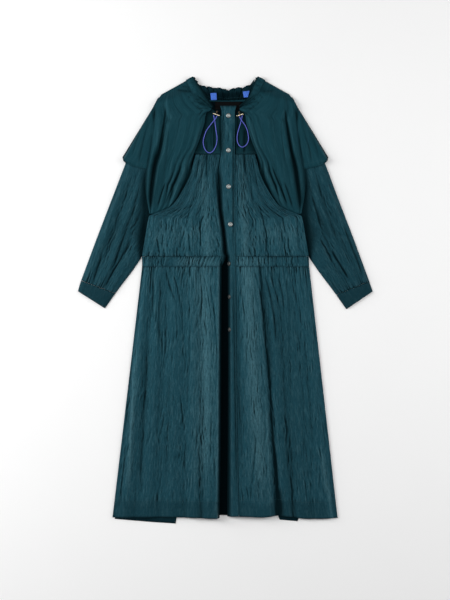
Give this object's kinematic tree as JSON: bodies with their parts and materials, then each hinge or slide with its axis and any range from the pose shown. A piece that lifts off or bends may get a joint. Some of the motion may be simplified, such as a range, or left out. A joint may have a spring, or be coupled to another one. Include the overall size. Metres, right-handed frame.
{
  "type": "overcoat",
  "caption": "Long crinkled nylon overcoat with a shoulder cape, gathered neck casing, drawcord loops and a snap front, laid flat.",
  "frame": {"origin": "middle of the laid coat's outline, on the surface it rests on", "axes": "+X across the coat towards the right of the view, +Y up the coat to the neck, +Z out of the coat's front"},
  "size_m": [0.8255, 1.2516, 0.0235],
  "materials": {
    "crinkled_nylon": "crinkled nylon cloth, deep teal, soft sheen",
    "smooth_nylon": "smooth nylon cloth, deep teal, soft sheen",
    "shaded_nylon": "inside of the same nylon cloth, deep teal",
    "black_tape": "black woven tape, bare",
    "blue_tape": "bright blue grosgrain tape",
    "blue_cord": "violet-blue braided cord",
    "snap_metal": "brushed pale metal press snap",
    "bar_metal": "pale polished brass bar",
    "spring_metal": "dark bronzed spring barrel"
  },
  "bodies": {
    "root": {"sleeve_left": "crinkled_nylon", "sleeve_right": "crinkled_nylon", "cuff_left": "crinkled_nylon", "cuff_right": "crinkled_nylon", "bib_left": "crinkled_nylon", "bib_right": "crinkled_nylon", "skirt_left": "crinkled_nylon", "skirt_right": "crinkled_nylon", "waist_casing_left": "crinkled_nylon", "waist_casing_right": "crinkled_nylon", "placket": "crinkled_nylon", "cape_back": "smooth_nylon", "cape_front_left": "smooth_nylon", "cape_front_right": "smooth_nylon", "cape_sleeve_left": "smooth_nylon", "cape_sleeve_right": "smooth_nylon", "yoke_left": "smooth_nylon", "yoke_right": "smooth_nylon", "neck_casing_left": "smooth_nylon", "neck_casing_right": "smooth_nylon", "skirt_back": "shaded_nylon", "bodice_back": "shaded_nylon", "placket_under": "shaded_nylon", "neck_casing_back": "shaded_nylon", "neck_patch": "black_tape", "tape_left": "blue_tape", "tape_right": "blue_tape", "drawcord_left": "blue_cord", "drawcord_right": "blue_cord", "snap_1": "snap_metal", "snap_2": "snap_metal", "snap_3": "snap_metal", "snap_4": "snap_metal", "snap_5": "snap_metal", "snap_6": "snap_metal", "snap_7": "snap_metal", "lock_bar_left": "bar_metal", "lock_bar_right": "bar_metal", "lock_spring_left": "spring_metal", "lock_spring_right": "spring_metal"}
  },
  "joints": []
}
